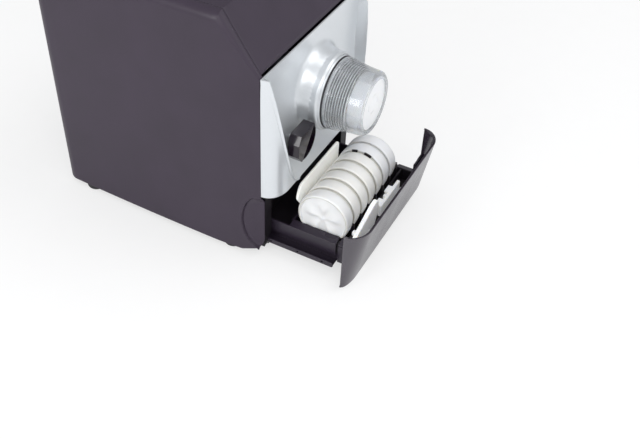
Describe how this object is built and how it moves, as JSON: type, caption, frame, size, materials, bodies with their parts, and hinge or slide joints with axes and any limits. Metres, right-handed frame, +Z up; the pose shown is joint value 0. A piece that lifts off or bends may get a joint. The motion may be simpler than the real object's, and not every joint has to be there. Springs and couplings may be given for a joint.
{
  "type": "electric pasta maker",
  "caption": "Countertop pasta extruder with a round nozzle, selector knob, lidded mixing bowl and a pulled-out front drawer that stores extrusion dies and tools.",
  "frame": {"origin": "centre of the footprint of the whole box, drawer pulled out, on the table", "axes": "+Z up, -Y to the front with the nozzle and drawer, +X to the machine's right seen from the front"},
  "size_m": [0.2216, 0.3884, 0.3036],
  "materials": {
    "shell_plastic": "dark plum-grey moulded plastic, satin",
    "black_plastic": "black moulded plastic",
    "silver_panel": "silver-lacquered plastic",
    "ivory_plastic": "ivory moulded plastic",
    "white_plastic": "white moulded plastic",
    "clear_plastic": "clear ribbed plastic",
    "steel": "plain steel",
    "winding": "copper winding on a laminated core",
    "rubber": "black rubber",
    "board": "green circuit board"
  },
  "bodies": {
    "body": {"side_shell_left": "shell_plastic", "side_shell_right": "shell_plastic", "top_hood": "shell_plastic", "rear_cover": "shell_plastic", "front_panel": "silver_panel", "barrel_collar": "silver_panel", "base_plate": "black_plastic", "foot_front_left": "rubber", "foot_front_right": "rubber", "foot_rear_left": "rubber", "foot_rear_right": "rubber", "drawer_bay": "black_plastic", "runner_left": "steel", "runner_right": "steel", "extrusion_barrel": "white_plastic", "selector_switch": "black_plastic", "mixing_bowl": "clear_plastic", "lid_hinge_pin": "steel", "lid_switch": "black_plastic", "gear_case": "steel", "gear_cover": "steel", "motor_housing": "steel", "motor_cap": "steel", "stator": "winding", "bearing_front": "steel", "bearing_rear": "steel", "control_board": "board", "capacitor": "steel", "cord_inlet": "rubber"},
    "drawer": {"drawer_tray": "shell_plastic", "drawer_front": "shell_plastic", "drawer_screw_left": "steel", "drawer_screw_right": "steel", "scraper_plate": "ivory_plastic", "die_key": "white_plastic", "cleaning_comb": "white_plastic", "stored_die_1": "white_plastic", "stored_die_2": "ivory_plastic", "stored_die_3": "ivory_plastic", "stored_die_4": "ivory_plastic", "stored_die_5": "ivory_plastic", "stored_die_6": "ivory_plastic", "stored_die_7": "white_plastic"},
    "selector": {"selector_knob": "shell_plastic", "selector_shaft": "steel"},
    "die_seat": {"fitted_die": "white_plastic"},
    "nut": {"die_nut": "clear_plastic"},
    "lid": {"bowl_lid": "clear_plastic"},
    "plunger": {"lid_switch_plunger": "black_plastic"},
    "mixer": {"mixing_paddle": "white_plastic", "auger": "white_plastic", "output_shaft": "steel", "output_gear": "white_plastic"},
    "intermediate": {"layshaft": "steel", "layshaft_gear": "white_plastic", "layshaft_pinion": "steel"},
    "motor": {"rotor": "steel", "motor_pinion": "steel", "cooling_fan": "black_plastic"}
  },
  "joints": [
    {"name": "drawer_slide", "type": "slide", "parent": "body", "child": "drawer", "axis": [0, -1, 0], "range_m": [-0.0956, 0]},
    {"name": "selector_turn", "type": "hinge", "parent": "body", "child": "selector", "pos_m": [-0.061, -0.0962, 0.1435], "axis": [0, 1, 0], "range_deg": [0, 75]},
    {"name": "die_slide", "type": "slide", "parent": "body", "child": "die_seat", "axis": [0, -1, 0], "range_m": [0, 0.009]},
    {"name": "nut_turn", "type": "hinge", "parent": "die_seat", "child": "nut", "pos_m": [0, -0.132, 0.1688], "axis": [0, -1, 0], "range_deg": [0, 1080]},
    {"name": "lid_hinge", "type": "hinge", "parent": "body", "child": "lid", "pos_m": [0, 0.0832, 0.2988], "axis": [-1, 0, 0], "range_deg": [0, 100]},
    {"name": "plunger_press", "type": "slide", "parent": "body", "child": "plunger", "axis": [0, 0, 1], "range_m": [-0.002, 0], "stiffness_N_per_m": 300, "springref_m": 0.001},
    {"name": "mixer_turn", "type": "hinge", "parent": "body", "child": "mixer", "pos_m": [0, 0.075, 0.1688], "axis": [0, 1, 0], "continuous": true},
    {"name": "intermediate_turn", "type": "hinge", "parent": "body", "child": "intermediate", "pos_m": [0, 0.075, 0.1313], "axis": [0, 1, 0], "continuous": true},
    {"name": "motor_turn", "type": "hinge", "parent": "body", "child": "motor", "pos_m": [0, 0.1026, 0.0938], "axis": [0, 1, 0], "continuous": true}
  ],
  "couplings": [
    {"joint": "die_slide", "follows": "nut_turn", "m_per_rad": 0.00047746},
    {"joint": "intermediate_turn", "follows": "mixer_turn", "ratio": -4},
    {"joint": "motor_turn", "follows": "mixer_turn", "ratio": 16}
  ]
}
